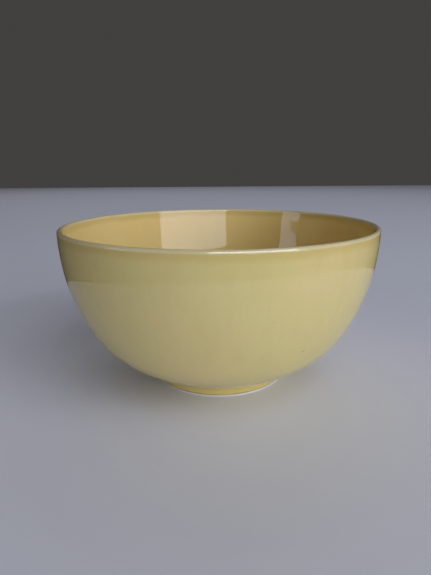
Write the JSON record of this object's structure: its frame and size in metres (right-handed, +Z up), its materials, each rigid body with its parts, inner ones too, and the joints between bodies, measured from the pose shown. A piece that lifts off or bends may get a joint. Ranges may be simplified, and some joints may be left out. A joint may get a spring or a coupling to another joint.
{
  "type": "mixing bowl",
  "caption": "Deep round mixing bowl in glazed stoneware, with a thin rounded lip, near-upright sides and a low foot ring that is left bare where it stands.",
  "frame": {"origin": "on the bowl's axis, in the plane of the foot ring's resting face", "axes": "+Z up along the bowl's axis, out of its mouth; +X and +Y are level, and any turn about Z is the same"},
  "size_m": [0.25, 0.25, 0.1272],
  "materials": {
    "stoneware": "matte",
    "yellow_glaze": "gloss",
    "underside_glaze": "gloss"
  },
  "bodies": {
    "root": {"clay_body": "stoneware", "glaze_coat": "yellow_glaze", "underside_glaze": "underside_glaze"}
  },
  "joints": []
}
